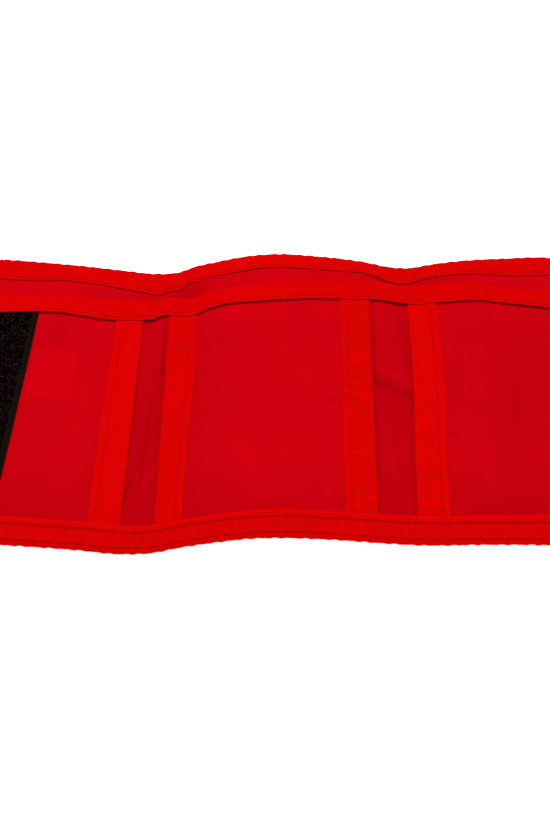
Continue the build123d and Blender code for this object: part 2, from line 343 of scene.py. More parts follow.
class Shape:
    """Gathers swept strips into one mesh with a material index, UVs in metres and a tone."""

    def __init__(self):
        self.points, self.faces, self.uvs, self.slots, self.tones = [], [], [], [], []
        self.count = 0

    def strip(self, grid, uv, slot, tone=None):
        """A strip from rings: grid[i, j] is point j of closed ring i."""
        rows, ring = grid.shape[:2]
        index = self.count + np.arange(rows * ring).reshape(rows, ring)
        nxt = np.roll(index, -1, axis=1)
        quads = np.stack([index[:-1], index[1:], nxt[1:], nxt[:-1]], -1).reshape(-1, 4)
        self.points.append(grid.reshape(-1, 3))
        self.tones.append((np.ones((rows, ring)) if tone is None else tone).reshape(-1))
        self.uvs.append(uv.reshape(-1, 2))
        self.faces += quads.tolist()
        self.slots += [slot] * len(quads)
        self.faces += [index[0].tolist(), index[-1][::-1].tolist()]
        self.slots += [slot] * 2
        self.count += rows * ring

    def strands(self, grid, slot, tone):
        """Many small closed strips at once: grid[n, i, j] is point j of ring i of strand n."""
        count, rows, ring = grid.shape[:3]
        index = self.count + np.arange(count * rows * ring).reshape(count, rows, ring)
        nxt = np.roll(index, -1, axis=2)
        quads = np.stack([index[:, :-1], index[:, 1:], nxt[:, 1:], nxt[:, :-1]], -1).reshape(-1, 4)
        self.faces += quads.tolist() + index[:, 0].tolist() + index[:, -1, ::-1].tolist()
        self.slots += [slot] * (len(quads) + 2 * count)
        self.points.append(grid.reshape(-1, 3))
        self.tones.append(np.broadcast_to(tone, grid.shape[:3]).reshape(-1))
        self.uvs.append(grid[..., :2].reshape(-1, 2))
        self.count += grid.size // 3

    def make(self, name, materials):
        """The gathered strips as one object."""
        mesh = bpy.data.meshes.new(name)
        points = np.concatenate(self.points) * MM
        mesh.from_pydata(points.tolist(), [], self.faces)
        mesh.polygons.foreach_set("material_index", np.array(self.slots, np.int32))
        corner = np.zeros(len(mesh.loops), np.int32)
        mesh.loops.foreach_get("vertex_index", corner)
        uvs = np.concatenate(self.uvs) * MM
        layer = mesh.uv_layers.new(name="Cloth")
        layer.data.foreach_set("uv", uvs[corner].astype(np.float32).ravel())
        tone = mesh.attributes.new("tone", "FLOAT", "POINT")
        tone.data.foreach_set("value", np.concatenate(self.tones).astype(np.float32))
        for material in materials:
            mesh.materials.append(material)
        mesh.polygons.foreach_set("use_smooth", np.ones(len(mesh.polygons), bool))
        mesh.update()
        mesh.set_sharp_from_angle(angle=math.radians(SHARP_ANGLE))
        piece = bpy.data.objects.new(name, mesh)
        bpy.context.collection.objects.link(piece)
        return piece


def spaced(low, high, pitch):
    """Even steps of about the pitch from low to high."""
    return np.linspace(low, high, max(2, int(round(abs(high - low) / pitch)) + 1))


def cloth_strip(shape, place, along, across, low, tone=None, slot=0):
    """A thin cloth: place(a, c, h) at the crossings of along and across, CLOTH_T thick."""
    c = np.concatenate([across, across[::-1]])
    h = np.concatenate([np.full(len(across), low + CLOTH_T), np.full(len(across), low)])
    a, cc = np.meshgrid(along, c, indexing="ij")
    grid = place(a, cc, np.broadcast_to(h, a.shape))
    shades = None if tone is None else tone(a, cc)
    shape.strip(grid, np.stack([a, cc], -1), slot, shades)


ROW_POINTS = (-0.55, -0.3, -0.12, 0.12, 0.3, 0.55)  # mesh points across a sewn row's groove


def fold_ring(stack, reach, rows):
    """A folded tape's closed outline: points (c from the fold, h), how much each is ribbed,
    outward normals, and the count of points on the upper face.
    """
    low, high = stack
    r = (high - low) / 2
    mid = (high + low) / 2
    near = {reach, reach - SELVAGE / 2, reach - SELVAGE, reach - 1.4 * SELVAGE}
    for row in rows:
        near |= {row + d for d in ROW_POINTS}
    flat = sorted(near | set(np.arange(r + 0.4, reach - 1.2, 0.9).round(2)), reverse=True)
    flat = [c for i, c in enumerate(flat) if i == 0 or flat[i - 1] - c > 0.05]
    turn = np.linspace(math.pi / 2, 3 * math.pi / 2, 9)
    outer = [(c, high) for c in flat]
    outer += [(r + r * math.cos(t), mid + r * math.sin(t)) for t in turn]
    outer += [(c, low) for c in np.linspace(r + 1, reach, 9)]
    inside = r - TAPE_T
    inner = [(c, low + TAPE_T) for c in np.linspace(reach, r + 1, 5)]
    inner += [(r + inside * math.cos(t), mid + inside * math.sin(t)) for t in turn[::-2]]
    inner += [(c, high - TAPE_T) for c in np.linspace(r + 1, reach, 5)]
    ring = np.array(outer + inner)
    ahead, behind = np.roll(ring, -1, 0), np.roll(ring, 1, 0)
    tangent = ahead - behind
    normal = np.stack([-tangent[:, 1], tangent[:, 0]], -1)
    normal /= np.linalg.norm(normal, axis=1, keepdims=True) + 1e-9
    share = np.array([1.0] * len(outer) + [0.0] * len(inner))
    share[0] = 0.4
    area = np.sum(ring[:, 0] * np.roll(ring[:, 1], -1) - np.roll(ring[:, 0], -1) * ring[:, 1])
    return ring, share, normal * (-1 if area > 0 else 1), len(flat)


def rib(a):
    """Ridge profile of the tape, 0 in a groove and 1 on a rib."""
    return np.abs(np.sin(math.pi * a / RIB)) ** 0.7


LIP_H = 0.10  # how far a tape's edge stands out
GROOVE_W = 0.24  # half width of the groove that a sewn row presses into a tape
GROOVE_D = 0.10
HOLE_W = 0.28  # half length of a needle hole
HOLE_D = 0.35


def wander(a, phase):
    """How a tape's edge and its sewn row wander along the tape."""
    return np.sin(a / 7.3 + phase) + 0.6 * np.sin(a / 3.1 + 2 * phase)


def tape_strip(
    shape, place, along_span, stack, rows, reach=TAPE, phase=0.0, wobble=0.0,
    contrast=0.13, sewn=0.16, lip=0.8, deep=1.0,
):
    """A ribbed tape folded over an edge, with sewn rows at those distances from the fold.

    contrast is how dark the painted shade in the grooves between ribs is, sewn how dark the painted
    shade in a sewn row's groove and needle holes is, lip how much the edge stands out and waves and
    how much painted highlight it carries, and deep the tone of the whole tape.
    """
    rib_height = RIB_H * (0.5 + 1.5 * contrast)
    along = spaced(*along_span, RIB / 6)
    ring, share, normal, top_count = fold_ring(stack, reach, rows)
    a = along[:, None]
    ridge = rib(a + phase)
    face = np.arange(len(ring)) < top_count
    c, h = ring[:, 0][None, :], ring[:, 1][None, :]
    edge = step((c - reach + 1.6 * SELVAGE) / 0.3) * face * lip
    push = share * rib_height * (ridge - 0.5) * (1 - 0.45 * edge) + LIP_H * edge
    pull = 0.10 * np.sin(2 * math.pi * (a + phase) / STITCH) + 0.07 * np.sin(a / 0.47 + phase)
    push = push + lip * share * pull * (1 - step((c - 0.6) / 1.6))
    # painted shade in the grooves between the ribs, and a painted highlight on the raised edge
    tone = deep * (1 - contrast * (1 - ridge) * (share > 0) * (1 - 0.5 * edge))
    tone = tone + 0.06 * edge
    for row in rows:
        groove = hill(c, row, GROOVE_W) * face
        hole = np.abs((a + phase) % STITCH - STITCH / 2) < HOLE_W
        push = push - groove * (GROOVE_D + HOLE_D * hole)
        # painted shade in the sewn row's groove, darker still in its needle holes
        tone = tone * (1 - groove * (sewn + 0.5 * hole))
    cc = c + normal[:, 0] * push
    hh = h + normal[:, 1] * push
    cc = cc + wobble * wander(a, phase) * (c / reach) * face
    grid = place(np.broadcast_to(a, cc.shape), cc, hh)
    run = np.concatenate([[0], np.cumsum(np.linalg.norm(np.diff(ring, axis=0), axis=1))])
    uv = np.stack(np.broadcast_arrays(a + phase, run[None, :]), -1)
    shape.strip(grid, uv, 0, np.broadcast_to(tone, cc.shape))
    for row in rows:
        sewn_row(shape, place, along_span, row, stack[1], phase, wobble * row / reach)


def tucked_end(shape, place, a_span, stack):
    """The tape's end, folded in to close the hollow between its two plies."""
    low, high = stack[0] + TAPE_T / 2, stack[1] - TAPE_T / 2
    across = np.linspace((high - low) / 2, TAPE - 0.15, 6)
    c = np.concatenate([across, across[::-1]])[None, :]
    h = np.concatenate([np.full(6, high), np.full(6, low)])[None, :]
    a = np.array(a_span)[:, None]
    grid = place(*np.broadcast_arrays(a, c, h))
    # painted shade: the folded-in end is darker than the tape
    shape.strip(grid, np.stack(np.broadcast_arrays(a, c), -1), 0, np.full(grid.shape[:2], 0.8))


def sewn_row(shape, place, along_span, row, height, phase, wobble=0.0, slot=1):
    """Lockstitch thread that dips into its needle holes."""
    along = spaced(*along_span, STITCH / 12)
    dip = np.abs(np.cos(math.pi * (along + phase) / STITCH)) ** 0.5
    turn = np.linspace(0, 2 * math.pi, 6, endpoint=False)
    a = along[:, None]
    c = row + THREAD_R * np.cos(turn)[None, :] + wobble * wander(a, phase)
    h = height - 0.32 + 0.30 * dip[:, None] + THREAD_R * np.sin(turn)[None, :]
    grid = place(np.broadcast_to(a, h.shape), np.broadcast_to(c, h.shape), h)
    uv = np.stack(np.broadcast_arrays(a, turn[None, :] * THREAD_R), -1)
    # painted shade: the thread is darker where it dips into its needle holes
    shape.strip(grid, uv, slot, np.broadcast_to(0.65 + 0.35 * dip[:, None], h.shape))


def small_tubes(shape, place, path, aside, radius, slot, tone):
    """Round strands along path[n, i] = (a, c, h); aside[n] is a level unit vector across strand n."""
    run = np.gradient(path, axis=1)
    run /= np.linalg.norm(run, axis=2, keepdims=True)
    aside = np.broadcast_to(aside[:, None, :], path.shape)
    upward = np.cross(run, aside)
    turn = np.linspace(0, 2 * math.pi, 5, endpoint=False)[None, None, :, None]
    ring = path[:, :, None] + radius * (
        np.cos(turn) * aside[:, :, None] + np.sin(turn) * upward[:, :, None]
    )
    shape.strands(place(ring[..., 0], ring[..., 1], ring[..., 2]), slot, tone)


def scattered(rng, along_span, across_span, pitch, jitter):
    """Places (a, c) on a shaken grid."""
    a, c = np.meshgrid(spaced(*along_span, pitch), spaced(*across_span, pitch), indexing="ij")
    shake = rng.uniform(-jitter, jitter, (2, *a.shape)) * pitch
    return (a + shake[0]).ravel(), (c + shake[1]).ravel()


def loop_pile(shape, place, along_span, across_span, low, slot):
    """The tangled soft loops of a loop strip."""
    rng = np.random.default_rng(7)
    a, c = scattered(rng, along_span, across_span, pitch=0.54, jitter=0.45)
    count = len(a)
    lean = rng.uniform(0, 2 * math.pi, count)
    size = rng.uniform(0.20, 0.38, count)
    t = np.linspace(-0.15 * math.pi, 1.15 * math.pi, 8)[None, :]
    tilt = rng.uniform(-0.6, 0.6, count)[:, None]
    out = size[:, None] * np.cos(t)
    side = tilt * size[:, None] * np.sin(t)
    path = np.stack([
        a[:, None] + out * np.cos(lean)[:, None] - side * np.sin(lean)[:, None],
        c[:, None] + out * np.sin(lean)[:, None] + side * np.cos(lean)[:, None],
        low + size[:, None] * (0.35 + 0.95 * np.sin(t)) * rng.uniform(0.6, 1.1, count)[:, None],
    ], -1)
    aside = np.stack([-np.sin(lean), np.cos(lean), np.zeros(count)], -1)
    glint = rng.random(count) < 0.28
    shades = np.where(glint, rng.uniform(2.0, 7.0, count), rng.uniform(0.15, 0.6, count))
    radius = np.where(glint, 0.075, 0.06)[:, None, None, None]
    small_tubes(shape, place, path, aside, radius, slot, shades[:, None, None])


def hook_pile(shape, place, along_span, across_span, low, slot):
    """Rows of stiff hooks, hanging from the underside of the hook strip."""
    rng = np.random.default_rng(11)
    a, c = scattered(rng, along_span, across_span, pitch=1.25, jitter=0.08)
    count = len(a)
    way = np.where(np.arange(count) % 2 == 0, 1.0, -1.0)[:, None]
    out = np.array([0.0, 0.0, 0.03, 0.20, 0.42, 0.50, 0.44])[None, :] * way
    drop = -np.array([-0.2, 0.35, 0.75, 0.98, 0.92, 0.68, 0.50])[None, :]
    path = np.stack([
        a[:, None] + out, np.broadcast_to(c[:, None], (count, 7)),
        np.broadcast_to(low + drop, (count, 7)),
    ], -1)
    aside = np.tile([0.0, 1.0, 0.0], (count, 1))
    small_tubes(shape, place, path, aside, 0.10, slot, rng.uniform(0.8, 1.2, count)[:, None, None])


# ---- materials ----
NYLON_SHEEN = 0.12
NYLON_GLINT = (1.0, 0.0, 0.001)  # colour of the nylon's sheen
WEAVE = 0.42  # two threads of the cloth


def material(name, colour, roughness, sheen, specular, glint):
    """A Principled material and its nodes: (material, tree, shader)."""
    made = bpy.data.materials.new(name)
    made.use_nodes = True
    tree = made.node_tree
    shader = tree.nodes["Principled BSDF"]
    shader.inputs["Roughness"].default_value = roughness
    shader.inputs["Specular IOR Level"].default_value = specular
    shader.inputs["Specular Tint"].default_value = (*glint, 1)
    shader.inputs["Sheen Weight"].default_value = sheen
    shader.inputs["Sheen Tint"].default_value = (*glint, 1)
    shader.inputs["Sheen Roughness"].default_value = 0.45
    return made, tree, shader


def node(tree, kind, inputs=(), **settings):
    """A new node; inputs are linked when they are sockets and set when they are values."""
    made = tree.nodes.new(kind)
    for key, value in settings.items():
        setattr(made, key, value)
    for key, value in dict(inputs).items():
        if isinstance(value, bpy.types.NodeSocket):
            tree.links.new(value, made.inputs[key])
        else:
            made.inputs[key].default_value = value
    return made


def maths(tree, operation, a, b=0.0):
    """The result socket of a math node."""
    return node(tree, "ShaderNodeMath", {0: a, 1: b}, operation=operation).outputs[0]


def wave(tree, coordinate, pitch, turn=0.0):
    """Sine of a coordinate in metres, one wave per pitch in millimetres."""
    angle = maths(tree, "MULTIPLY_ADD", coordinate, 2 * math.pi / (pitch * MM))
    angle.node.inputs[2].default_value = turn
    return maths(tree, "SINE", angle)


def toned(tree, colour, dark, amount):
    """The colour times the mesh's tone, varied towards dark by the amount socket."""
    mixed = node(
        tree, "ShaderNodeMix", {0: amount, 6: (*colour, 1), 7: (*dark, 1)}, data_type="RGBA"
    ).outputs[2]
    tone = node(tree, "ShaderNodeAttribute", attribute_name="tone").outputs["Fac"]
    grey = node(tree, "ShaderNodeCombineColor", {0: tone, 1: tone, 2: tone}).outputs[0]
    return node(
        tree, "ShaderNodeMix", {0: 1.0, 6: mixed, 7: grey}, data_type="RGBA", blend_type="MULTIPLY"
    ).outputs[2]


def cloth_material(name, colour, dark):
    """Thin plain-woven nylon."""
    made, tree, shader = material(name, colour, 0.62, NYLON_SHEEN, 0.0, NYLON_GLINT)
    uv = node(tree, "ShaderNodeUVMap", uv_map="Cloth").outputs[0]
    split = node(tree, "ShaderNodeSeparateXYZ", {0: uv})
    warp, weft = wave(tree, split.outputs[0], WEAVE), wave(tree, split.outputs[1], WEAVE, 0.8)
    weave = maths(tree, "MULTIPLY", warp, weft)
    slub = node(
        tree, "ShaderNodeTexNoise",
        {"Vector": node(tree, "ShaderNodeMapping", {0: uv, 3: (2600, 120, 1)}).outputs[0],
         "Scale": 1.0, "Detail": 2.0},
    ).outputs[0]
    cloud = node(tree, "ShaderNodeTexNoise", {"Vector": uv, "Scale": 70.0, "Detail": 3.0}).outputs[0]
    share = maths(tree, "MULTIPLY_ADD", weave, 0.10)
    tree.links.new(maths(tree, "MULTIPLY", cloud, 0.45), share.node.inputs[2])
    tree.links.new(toned(tree, colour, dark, share), shader.inputs["Base Color"])
    height = maths(tree, "MULTIPLY_ADD", slub, 0.6)
    tree.links.new(weave, height.node.inputs[2])
    bump = node(tree, "ShaderNodeBump", {"Height": height, "Strength": 0.35, "Distance": 0.00004})
    tree.links.new(bump.outputs[0], shader.inputs["Normal"])
    rough = maths(tree, "MULTIPLY_ADD", cloud, 0.2)
    rough.node.inputs[2].default_value = 0.5
    tree.links.new(rough, shader.inputs["Roughness"])
    return made


def tape_material(name, colour, dark):
    """Ribbed tape: fine threads run along the tape over the ribs, which are in the mesh."""
    made, tree, shader = material(name, colour, 0.6, NYLON_SHEEN, 0.0, NYLON_GLINT)
    uv = node(tree, "ShaderNodeUVMap", uv_map="Cloth").outputs[0]
    split = node(tree, "ShaderNodeSeparateXYZ", {0: uv})
    threads = wave(tree, split.outputs[1], 0.30)
    over = wave(tree, split.outputs[0], RIB)
    grain = maths(tree, "MULTIPLY", threads, over)
    fuzz = node(tree, "ShaderNodeTexNoise", {"Vector": uv, "Scale": 2200.0, "Detail": 2.0}).outputs[0]
    cloud = node(tree, "ShaderNodeTexNoise", {"Vector": uv, "Scale": 130.0, "Detail": 3.0}).outputs[0]
    share = maths(tree, "MULTIPLY_ADD", fuzz, 0.25)
    tree.links.new(maths(tree, "MULTIPLY", cloud, 0.35), share.node.inputs[2])
    tree.links.new(toned(tree, colour, dark, share), shader.inputs["Base Color"])
    height = maths(tree, "MULTIPLY_ADD", fuzz, 0.7)
    tree.links.new(grain, height.node.inputs[2])
    bump = node(tree, "ShaderNodeBump", {"Height": height, "Strength": 0.4, "Distance": 0.00005})
    tree.links.new(bump.outputs[0], shader.inputs["Normal"])
    return made


def plain_material(name, colour, dark, scale, roughness, specular=0.2):
    """Thread, pile and other small things: a mottled colour and a fine bump."""
    made, tree, shader = material(name, colour, roughness, 0.0, specular, colour)
    uv = node(tree, "ShaderNodeUVMap", uv_map="Cloth").outputs[0]
    fuzz = node(tree, "ShaderNodeTexNoise", {"Vector": uv, "Scale": scale, "Detail": 3.0}).outputs[0]
    tree.links.new(toned(tree, colour, dark, fuzz), shader.inputs["Base Color"])
    bump = node(tree, "ShaderNodeBump", {"Height": fuzz, "Strength": 0.5, "Distance": 0.00008})
    tree.links.new(bump.outputs[0], shader.inputs["Normal"])
    return made


CLOTH = cloth_material("woven_nylon", (0.55, 0.0003, 0.0042), (0.36, 0.0003, 0.0036))
# painted shade: the recessed strip is the same nylon as the cloth, coloured darker for the shade in
# its hollow
SHADED_GUSSET = cloth_material("woven_nylon_gusset_painted_shade", (0.46, 0.0003, 0.0040), (0.30, 0.0003, 0.0034))
RIBBED = tape_material("ribbed_tape", (0.70, 0.0006, 0.0008), (0.52, 0.0004, 0.0008))
SEAM = plain_material("thread", (0.64, 0.0005, 0.0010), (0.46, 0.0004, 0.0010), 3000, 0.6, 0.0)
LOOP = plain_material("loop_pile", (0.013, 0.0055, 0.0058), (0.006, 0.0025, 0.0027), 1500, 0.75, 0.0)
LOOP_EDGE = plain_material(
    "loop_edge", (0.008, 0.0066, 0.0036), (0.004, 0.0033, 0.002), 900, 0.6, 0.02
)
HOOK = plain_material("hook_pile", (0.010, 0.0085, 0.0085), (0.006, 0.005, 0.005), 900, 0.45, 0.05)
LABEL = plain_material("label_cloth", (0.70, 0.004, 0.006), (0.60, 0.003, 0.005), 800, 0.6)


# ---- places on the band ----
def on_back(a, c, h):
    """Places on the back: a along the band, c up from the closed edge."""
    return raised(back_base, a, c, h)


def on_front(a, c, h):
    """Places on the pocket fronts: a along the band, c up from the closed edge."""
    return raised(front_base, a, c, h)


def at_top(a, c, h):
    """Places the far edge's tape: a along the band, c down from the tape's fold."""
    return raised(back_base, a, BAND - c, h)


def at_mouth(a, c, h):
    """Places the mouth's tape: a along the band, c down from the tape's fold."""
    return raised(front_base, a, MOUTH - c, h)


def band_end(side):
    return LEFT if side < 0 else RIGHT


def at_end(side):
    """Places the tape over a short end; its corners are pressed flat."""
    def place(a, c, h):
        flat = 1 - 0.14 * (1 - step(a / 5)) - 0.38 * (1 - step((BAND - a) / 6))
        return raised(back_base, band_end(side) - side * c, a, h * flat)
    return place


def gap_edge(fold, side, s):
    """The folded side of an edge tape beside a gap; side -1 is the gap's left."""
    closed, mouth = GAP_LINES[fold][0 if side < 0 else 1]
    return FOLDS[fold] + closed + (mouth - closed) * s / MOUTH


def at_gap(fold, side):
    """Places a tape beside a gap: a up the pocket, c away from the gap."""
    return lambda a, c, h: raised(front_base, gap_edge(fold, side, a) + side * c, a, h)


def between(low, high, c):
    """From low at c = -1 to high at c = 1."""
    return (low + high) / 2 + c * (high - low) / 2


def in_gap(fold):
    """Places the recessed strip, which dips between the tapes: a up the gap, c across it."""
    def place(a, c, h):
        low, high = gap_edge(fold, -1, a) - GUSSET_UNDER, gap_edge(fold, 1, a) + GUSSET_UNDER
        x = between(low, high, c)
        dip = (1.1 + 0.5 * a / MOUTH) * np.exp(-((c / 0.62) ** 4)) * step((MOUTH - 7 - a) / 30)
        dip = dip * step((a - 9) / 26) - pressed(a)
        crease = creased(x, a, GAP_CREASES) * step((MOUTH - 6 - a) / 12) * step((0.7 - abs(c)) / 0.2)
        return raised(front_base, x, a, h - dip + crease)
    return place


def on_wall(fold, side):
    """Places the bellows wall at one side: c from 0 at the back to 1 at the front."""
    def place(a, c, h):
        x = gap_edge(fold, side, a) + side * WALL_OUT
        foot = raised(back_base, x, a, 0.8)
        head = raised(front_base, x, a, FRONT_H - 0.1)
        mixed = foot * (1 - c[..., None]) + head * c[..., None]
        belly = side * (h + 0.5 * np.sin(math.pi * c) * np.sin(a / 21.0))
        return mixed + belly[..., None] * np.array([1.0, 0, 0])
    return place


def on_foot(fold):
    """Places the bellows' foot on the back cloth: c from -1 to 1 between the walls."""
    def place(a, c, h):
        low, high = gap_edge(fold, -1, a) - WALL_OUT, gap_edge(fold, 1, a) + WALL_OUT
        return raised(back_base, between(low, high, c), a, h)
    return place


def gap_beside(pocket, side):
    """The fold beside a pocket, or None at the band's ends."""
    fold = pocket - 1 if side < 0 else pocket
    return fold if 0 <= fold < POCKETS - 1 else None


def side_edge(pocket, side, s, inset):
    """Where a front's cloth ends at s, inset from its edge tape's fold."""
    fold = gap_beside(pocket, side)
    if fold is None:
        return np.full_like(np.asarray(s, float), band_end(side) - side * CLOTH_IN)
    return gap_edge(fold, -side, s) - side * inset


def along_half(pocket, side, a, c):
    """Position along the band on half a front, from the pocket's middle to its side."""
    return CENTRES[pocket] + (side_edge(pocket, side, a, 1.0) - CENTRES[pocket]) * c


def on_half(pocket, side):
    """Places half a front: a up the pocket, c from 0 at the pocket's middle to 1 at its side."""
    def place(a, c, h):
        x = along_half(pocket, side, a, c)
        clear = step((side_edge(pocket, side, a, TAPE) - x) * side)
        clear = clear * step((a - TAPE - 1) / 3) * step((MOUTH - TAPE - 3 - a) / 6)
        return raised(front_base, x, a, h + creased(x, a, FRONT_CREASES) * clear)
    return place


# ---- baking the pieces' transforms into their meshes ----
def fold_blend(piece):
    """Bakes the transform of a piece across a fold into its mesh."""
    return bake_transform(piece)


def pocket_blend(piece):
    """Bakes the transform of a piece on a pocket front into its mesh."""
    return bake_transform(piece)


# ---- a length of back from one pocket's middle to the next, or to the band's end ----
def fold_span(fold, end_in):
    start = LEFT + end_in if fold == 0 else CENTRES[fold]
    stop = RIGHT - end_in if fold == POCKETS - 2 else CENTRES[fold + 1]
    return start, stop


def fold_nodes(kind, fold):
    """The CAD nodes of one kind that a length stands for; the last length stands for two."""
    numbers = (fold + 1, POCKETS) if fold == POCKETS - 2 else (fold + 1,)
    return [f"{kind}_{number}" for number in numbers]


def make_back_cloth(fold):
    start, stop = fold_span(fold, CLOTH_IN)
    shape = Shape()
    # painted shade: the back cloth is darker at some stretches, where it lies in shade between the
    # tapes
    cloth_strip(
        shape, on_back, spaced(start, stop, 1.0), spaced(CLOTH_IN, BAND - CLOTH_IN, 1.6), BACK_H,
        lambda a, c: painted_shade_along(a, BACK_PAINTED_SHADE),
    )
    back = shape.make(f"back_cloth_{fold + 1}", [CLOTH])
    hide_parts(*fold_nodes("back_panel", fold))
    return back


def make_top_tape(fold):
    shape = Shape()
    tape_strip(
        shape, at_top, fold_span(fold, END_IN), BACK_STACK, (TOP_ROW,), wobble=0.12,
        deep=BINDING_PAINTED_SHADE,
    )
    top = shape.make(f"top_tape_{fold + 1}", [RIBBED, SEAM])
    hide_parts(*fold_nodes("top_binding", fold))
    return top


def make_bottom_tape(fold):
    shape = Shape()
    tape_strip(
        shape, on_back, fold_span(fold, END_IN), BOTTOM_STACK, CLOSED_ROWS, reach=BOTTOM_TAPE,
        phase=0.2, wobble=0.10, contrast=0.34, sewn=0.55, lip=0.9,
    )
    closed = shape.make(f"bottom_tape_{fold + 1}", [RIBBED, SEAM])
    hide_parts(*fold_nodes("bottom_binding", fold))
    return closed


def make_bridge(fold):
    """The mouth's tape, carried over the gap."""
    span = tuple(gap_edge(fold, side, MOUTH - TAPE / 2) for side in (-1, 1))
    shape = Shape()
    tape_strip(shape, at_mouth, span, MOUTH_STACK, (MOUTH_ROW,), wobble=0.1, deep=BINDING_PAINTED_SHADE)
    bridge = shape.make(f"mouth_tape_gap_{fold + 1}", [RIBBED, SEAM])
    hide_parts(f"mouth_bridge_{fold + 1}")
    return bridge


def make_gusset(fold):
    """The pleat of the bellows: the recessed strip, its two walls and its foot."""
    def shade(a, c):
        x = FOLDS[fold] + c * (BEND + 3.0)
        # painted shade and highlight on the creases, painted shadow of the tapes' edges along both
        # sides of the strip, and painted light near the mouth that lifts the shade under the mouth's
        # tape
        tape_edge_shadow = 0.10 * hill(np.abs(c), 0.62, 0.10)
        return painted_crease_shading(x, a, GAP_CREASES) - tape_edge_shadow + 0.08 * hill(a, 88, 18)

    shape = Shape()
    up = spaced(3.0, MOUTH - 1.2, 0.9)
    cloth_strip(shape, in_gap(fold), up, spaced(-1, 1, 0.03), FRONT_H - 0.2, shade)
    up = spaced(20, MOUTH - TAPE - 1, 2.0)
    for side in (-1, 1):
        cloth_strip(shape, on_wall(fold, side), up, spaced(0, 1, 0.12), 0.0)
    up = spaced(14, MOUTH - TAPE - 1, 2.0)
    cloth_strip(shape, on_foot(fold), up, spaced(-1, 1, 0.05), FOOT_H)
    gusset = shape.make(f"gusset_{fold + 1}", [SHADED_GUSSET])
    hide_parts(f"gusset_{fold + 1}_right", f"gusset_{fold + 2}_left")
    return gusset


def make_back_length(fold):
    back, top, closed = make_back_cloth(fold), make_top_tape(fold), make_bottom_tape(fold)
    bridge, gusset = make_bridge(fold), make_gusset(fold)
    for piece in (back, top, closed, bridge, gusset):
        fold_blend(piece)


# ---- half a pocket front, from the pocket's middle to its side ----
LABEL_LOW, LABEL_HIGH = (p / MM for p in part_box("pocket_label"))
LABEL_UP = 5.0  # the pale patch shows this far up the pocket from the label itself
LABEL_BLUR = 1.5  # width over which the patch fades


def label_patch(x, y):
    """1 where the label behind the cloth makes it paler, fading to 0 at its sides."""
    inside = step((x - LABEL_LOW.x) / LABEL_BLUR) * step((LABEL_HIGH.x - x) / LABEL_BLUR)
    inside = inside * step((y - LABEL_LOW.y - LABEL_UP) / LABEL_BLUR)
    return inside * step((LABEL_HIGH.y + LABEL_UP - y) / LABEL_BLUR)


def make_front_cloth(pocket, side, word):
    def shade(a, c):
        x = along_half(pocket, side, a, c)
        # painted shade and highlight of the creases, painted shade at some stretches along the band
        # and in a band just above the closed edge's tape; the paler patch is the label behind the
        # cloth
        tone = painted_crease_shading(x, a, FRONT_CREASES) * painted_shade_along(x, FRONT_PAINTED_SHADE) - 0.06 * hill(a, 12, 8.0)
        if pocket == 0:
            tone = tone * (1 + 0.10 * label_patch(x, BOTTOM + a))
        return tone

    shape = Shape()
    across = spaced(0, 1, 0.03)
    if side < 0:
        across = across[::-1]
    up = spaced(2.0, MOUTH - CLOTH_IN, 1.2)
    cloth_strip(shape, on_half(pocket, side), up, across, FRONT_H, shade)
    front = shape.make(f"pocket_cloth_{pocket + 1}_{word}", [CLOTH])
    return front


def make_mouth_tape(pocket, side, word):
    if gap_beside(pocket, side) is None:
        end_x = band_end(side) - side * END_IN
    else:
        end_x = float(side_edge(pocket, side, MOUTH - TAPE / 2, 0.0))
    span = tuple(sorted((CENTRES[pocket], end_x)))
    shape = Shape()
    tape_strip(shape, at_mouth, span, MOUTH_STACK, (MOUTH_ROW,), wobble=0.1, deep=BINDING_PAINTED_SHADE)
    mouth = shape.make(f"mouth_tape_{pocket + 1}_{word}", [RIBBED, SEAM])
    return mouth


def make_edge_tape(pocket, side, word):
    fold = gap_beside(pocket, side)
    shows = GAP_TAPES[fold][0 if side > 0 else 1]
    shape = Shape()
    tape_strip(
        shape, at_gap(fold, -side), (4.0, MOUTH - 1.5), FRONT_STACK, (shows - EDGE_ROW_IN,),
        reach=shows, phase=0.5 * pocket + side, wobble=0.06, contrast=0.30, sewn=0.0, lip=0.15,
        deep=EDGE_TAPE_PAINTED_LIGHT,
    )
    tape = shape.make(f"edge_tape_cloth_{pocket + 1}_{word}", [RIBBED, SEAM])
    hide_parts(f"edge_tape_{pocket + 1}_{word}")
    return tape


def make_pocket_half(pocket, side, word):
    front = make_front_cloth(pocket, side, word)
    mouth = make_mouth_tape(pocket, side, word)
    if side < 0:
        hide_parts(f"pocket_front_{pocket + 1}")
        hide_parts(f"mouth_binding_{pocket + 1}")
    with_pieces = [mouth]
    if gap_beside(pocket, side) is not None:
        with_pieces.append(make_edge_tape(pocket, side, word))
    for piece in (front, *with_pieces):
        pocket_blend(piece)
    width = abs(float(side_edge(pocket, side, MOUTH / 2, 1.0)) - CENTRES[pocket])


# ---- the tape over each short end ----
def make_end_tape(side, word, body):
    shape = Shape()
    tape_strip(shape, at_end(side), (0.0, BAND), END_STACK, (TOP_ROW,), phase=0.7)
    for span in ((0.15, 1.2), (BAND - 1.2, BAND - 0.15)):
        tucked_end(shape, at_end(side), span, END_STACK)
    tape = shape.make(f"end_tape_{word}", [RIBBED, SEAM])
    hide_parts(f"end_binding_{word}")
    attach(tape, body)


# ---- hook-and-loop strips and label ----
LOOP_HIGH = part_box("loop_strip")[1] / MM
HOOK_LOW, HOOK_HIGH = (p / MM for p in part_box("hook_strip"))


def on_loop_strip(a, c, h):
    """a up the first pocket, c from the strip's right edge; the strip leans a little."""
    lean = (MOUTH - TAPE - a) * 0.052
    return raised(front_base, LOOP_HIGH.x + 1.3 - lean - c, a, h)


